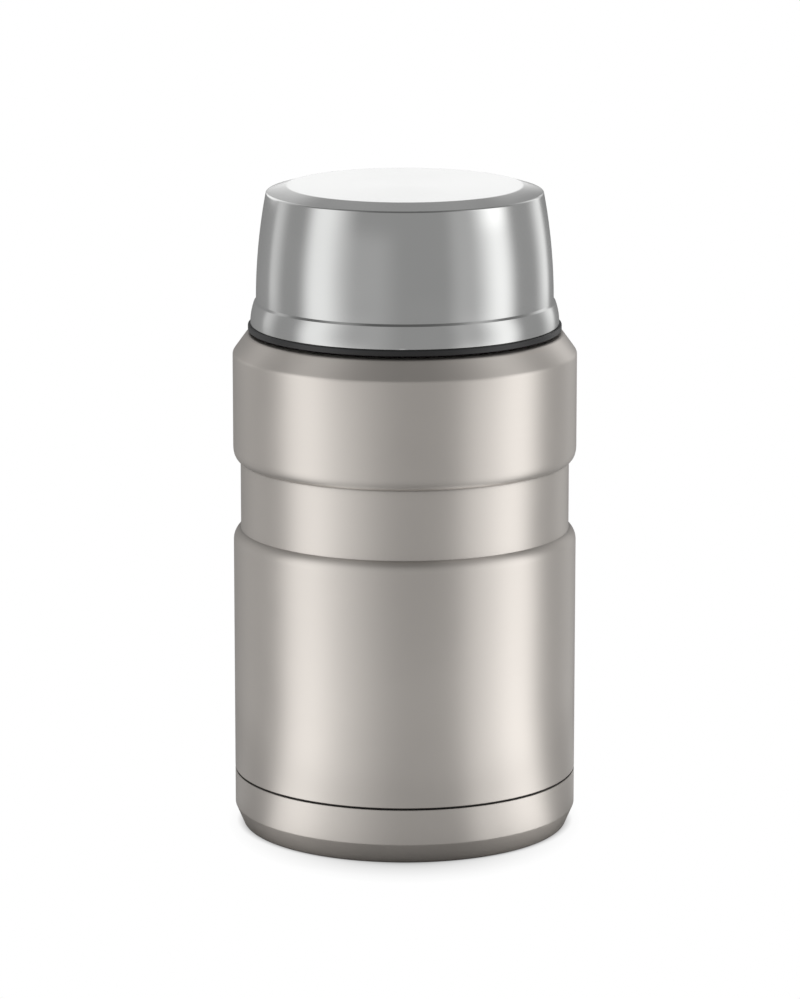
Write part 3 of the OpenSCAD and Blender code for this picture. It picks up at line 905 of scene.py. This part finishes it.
clouds, given, result = new_group(
    "clouds", [("Vector", "Vector", None), ("Scale", "Float", 30.0)], "Amount"
)
haze = add_node(
    clouds,
    "ShaderNodeTexNoise",
    {
        "Vector": given["Vector"],
        "Scale": given["Scale"],
        "Detail": 4.0,
        "Roughness": 0.5,
        "Distortion": 0.4,
    },
)
clouds.links.new(smooth_step(clouds, haze.outputs[0], 0.3, 0.7), result.inputs["Amount"])

# A mask for convex edges, which shows wear, and on the lid also a painted highlight.
edge_wear_and_highlight, given, result = new_group(
    "edge wear",
    [("Vector", "Vector", None), ("Reach", "Float", 0.05), ("Scale", "Float", 900.0)],
    "Mask",
)
EDGE_FROM = 0.515
bend = add_node(edge_wear_and_highlight, "ShaderNodeNewGeometry").outputs["Pointiness"]
edge_end = math_node(edge_wear_and_highlight, "ADD", EDGE_FROM, given["Reach"])
on_edge = smooth_step(edge_wear_and_highlight, bend, EDGE_FROM, edge_end)
chips = add_node(
    edge_wear_and_highlight,
    "ShaderNodeTexNoise",
    {"Vector": given["Vector"], "Scale": given["Scale"], "Detail": 3.0},
)
broken = smooth_step(edge_wear_and_highlight, chips.outputs[0], 0.35, 0.65, 0.35, 1.0)
edge_wear_and_highlight.links.new(math_node(edge_wear_and_highlight, "MULTIPLY", on_edge, broken), result.inputs["Mask"])

# Painted shade: a mask for folds that the piece's own surfaces close in, broken up by noise.
painted_fold_shade, given, result = new_group(
    "painted_fold_shade",
    [("Vector", "Vector", None), ("Width", "Float", 0.006), ("Scale", "Float", 400.0)],
    "Mask",
)
open_side = add_node(
    painted_fold_shade,
    "ShaderNodeAmbientOcclusion",
    {"Distance": given["Width"]},
    samples=8,
    only_local=True,
).outputs["AO"]
in_fold = smooth_step(painted_fold_shade, open_side, 0.55, 0.9, 1.0, 0.0)
shade_patches = add_node(
    painted_fold_shade,
    "ShaderNodeTexNoise",
    {"Vector": given["Vector"], "Scale": given["Scale"], "Detail": 2.0},
)
uneven = smooth_step(painted_fold_shade, shade_patches.outputs[0], 0.3, 0.7, 0.75, 1.0)
painted_fold_shade.links.new(math_node(painted_fold_shade, "MULTIPLY", in_fold, uneven), result.inputs["Mask"])
print("groups", [g.name for g in (turned_lines, fine_grain, clouds, edge_wear_and_highlight, painted_fold_shade)])

# %% [markdown]
# ## Finishes
# A finish is a Principled shader fed by the groups. One recipe serves every finish: clouds
# tint the colour, lines and grain roughen and bump it, worn edges are lighter and smoother,
# with a painted highlight where the lid's edges are much lighter, and folds get painted shade.


# %% The recipe
# Painted shade in the folds is this share of the dark tint.
FOLD_SHADE_LEVEL = 0.15
HAZE_ROUGH = 0.03
WORN_ROUGH = -0.06


def effect(tree, group, coordinates, **values):
    """Place a node group in a material and return its output."""
    inputs = {name.title(): value for name, value in values.items()}
    node = add_node(tree, "ShaderNodeGroup", node_tree=group)
    tree.links.new(coordinates, node.inputs["Vector"])
    for name, value in inputs.items():
        node.inputs[name].default_value = value
    return node.outputs[0]


def blend_colours(tree, factor, a, b):
    """Mix two colours, each a value or a link."""
    node = add_node(tree, "ShaderNodeMix", data_type="RGBA")
    for name, value in (("Factor", factor), ("A", a), ("B", b)):
        socket = next(s for s in node.inputs if s.enabled and s.name == name)
        if isinstance(value, bpy.types.NodeSocket):
            tree.links.new(value, socket)
        else:
            socket.default_value = value
    return next(s for s in node.outputs if s.enabled)


def finish(
    name, light, dark, wear_and_highlight, rough, metallic, lines=(4000, 20), grain=5000,
    line_rough=0.05, grain_rough=0.05, line_bump=0.0, grain_bump=0.0, wear=0.05, fold_shade_amount=0.85,
    **constants
):
    """A finish from two tints, a lighter tint for worn edges and painted edge highlights, a
    roughness and how strong each effect is.
    """
    material = bpy.data.materials.new(name)
    material.use_nodes = True
    tree = material.node_tree
    shader = tree.nodes["Principled BSDF"]
    coordinates = add_node(tree, "ShaderNodeTexCoord").outputs["Object"]
    haze = effect(tree, clouds, coordinates, scale=30.0)
    streak = effect(tree, turned_lines, coordinates, lines=lines[0], drift=lines[1])
    speck = effect(tree, fine_grain, coordinates, scale=grain)
    edge = effect(tree, edge_wear_and_highlight, coordinates, reach=wear)
    tint = blend_colours(tree, haze, (*dark, 1), (*light, 1))
    tint = blend_colours(tree, edge, tint, (*wear_and_highlight, 1))
    # Painted shade: folds blend towards a dark shade of the finish's own tint.
    fold_shade_mask = math_node(tree, "MULTIPLY", effect(tree, painted_fold_shade, coordinates), fold_shade_amount)
    shade = [channel * FOLD_SHADE_LEVEL for channel in dark]
    tree.links.new(blend_colours(tree, fold_shade_mask, tint, (*shade, 1)), shader.inputs["Base Color"])
    roughness = math_node(tree, "MULTIPLY_ADD", streak, line_rough, rough)
    roughness = math_node(tree, "MULTIPLY_ADD", speck, grain_rough, roughness)
    roughness = math_node(tree, "MULTIPLY_ADD", haze, HAZE_ROUGH, roughness)
    roughness = math_node(tree, "MULTIPLY_ADD", edge, WORN_ROUGH, roughness)
    tree.links.new(roughness, shader.inputs["Roughness"])
    height = math_node(tree, "MULTIPLY", streak, line_bump * MM)
    height = math_node(tree, "MULTIPLY_ADD", speck, grain_bump * MM, height)
    bump = add_node(tree, "ShaderNodeBump", {"Height": height, "Distance": 1.0, "Strength": 1.0})
    tree.links.new(bump.outputs["Normal"], shader.inputs["Normal"])
    shader.inputs["Metallic"].default_value = metallic
    for socket, value in constants.items():
        shader.inputs[socket.replace("_", " ").title()].default_value = value
    if "anisotropic" in constants:
        tangent = add_node(tree, "ShaderNodeTangent", direction_type="RADIAL", axis="Z")
        tree.links.new(tangent.outputs[0], shader.inputs["Tangent"])
    return material


# %% Mix the finishes
satin_steel = finish(
    "satin body steel", (0.66, 0.622, 0.582), (0.635, 0.598, 0.560), (0.72, 0.69, 0.65),
    rough=0.38, metallic=1.0, line_bump=0.0006, grain_bump=0.0010, fold_shade_amount=1.0,
    anisotropic=0.3, anisotropic_rotation=0.25,
)
# The lid's edges are much lighter than its steel: wear, and a painted highlight along the rims.
lid_steel = finish(
    "brushed lid steel", (0.55, 0.553, 0.547), (0.53, 0.533, 0.527), (0.85, 0.853, 0.85),
    rough=0.13, metallic=1.0, line_bump=0.0006, grain_bump=0.0002, wear=0.03,
    anisotropic=0.15, anisotropic_rotation=0.25,
)
lining_steel = finish(
    "turned lining steel", (0.68, 0.68, 0.67), (0.64, 0.64, 0.63), (0.76, 0.76, 0.75),
    rough=0.22, metallic=1.0, lines=(2600, 8), line_bump=0.0012, grain_bump=0.0002,
    anisotropic=0.5, anisotropic_rotation=0.25,
)
black_plastic = finish(
    "black moulded plastic", (0.020, 0.020, 0.021), (0.014, 0.014, 0.015), (0.05, 0.05, 0.05),
    rough=0.38, metallic=0.0, grain=2600, grain_bump=0.004,
)
silicone = finish(
    "grey silicone", (0.48, 0.49, 0.48), (0.43, 0.44, 0.43), (0.56, 0.57, 0.56),
    rough=0.48, metallic=0.0, grain=3500, grain_bump=0.002,
    subsurface_weight=0.15, subsurface_scale=0.002,
)
seam_compound = finish(
    "seam compound", (0.016, 0.013, 0.012), (0.010, 0.009, 0.008), (0.03, 0.027, 0.025),
    rough=0.85, metallic=0.0, grain=3000, grain_bump=0.003,
)
white_foam = finish(
    "rigid foam", (0.84, 0.80, 0.70), (0.76, 0.72, 0.62), (0.88, 0.85, 0.76),
    rough=0.85, metallic=0.0, grain=900, grain_bump=0.25,
)
copper_foil = finish(
    "copper foil", (0.86, 0.47, 0.31), (0.74, 0.38, 0.24), (0.92, 0.56, 0.40),
    rough=0.28, metallic=1.0, lines=(900, 6), line_bump=0.004, grain=300, grain_bump=0.02,
)
sintered_metal = finish(
    "sintered getter metal", (0.22, 0.22, 0.23), (0.15, 0.15, 0.16), (0.30, 0.30, 0.31),
    rough=0.65, metallic=0.8, grain=4000, grain_bump=0.02,
)
solder_glass = finish(
    "solder glass", (0.06, 0.07, 0.08), (0.04, 0.045, 0.05), (0.12, 0.13, 0.14),
    rough=0.12, metallic=0.0, grain=1500, grain_bump=0.004,
)

FINISH_OF = {
    satin_steel: [jar_skin, foot_cap],
    lid_steel: [lid_skin],
    lining_steel: [
        jar_lining, lining_pan, bowl_lining, nodes["vacuum_bottom"], nodes["getter_clip"]
    ],
    black_plastic: [stopper_shell, lid_collar, nodes["stopper_cover"]],
    silicone: [sealing_ring],
    seam_compound: [nodes["base_seal_ring"]],
    white_foam: [nodes["stopper_foam"], nodes["bowl_foam"]],
    copper_foil: [nodes["radiation_foil"]],
    sintered_metal: [nodes["getter"]],
    solder_glass: [nodes["seal_bead"]],
}
for material, pieces in FINISH_OF.items():
    for piece in pieces:
        if not piece.material_slots:
            piece.data.materials.append(material)
        for slot in piece.material_slots:
            slot.material = material
print(len(FINISH_OF), "finishes on", sum(map(len, FINISH_OF.values())), "pieces")

# %% [markdown]
# ## Output settings
# The Standard view shows colours as they are written.

# %% Settings and the end
bpy.context.scene.view_settings.view_transform = "Standard"
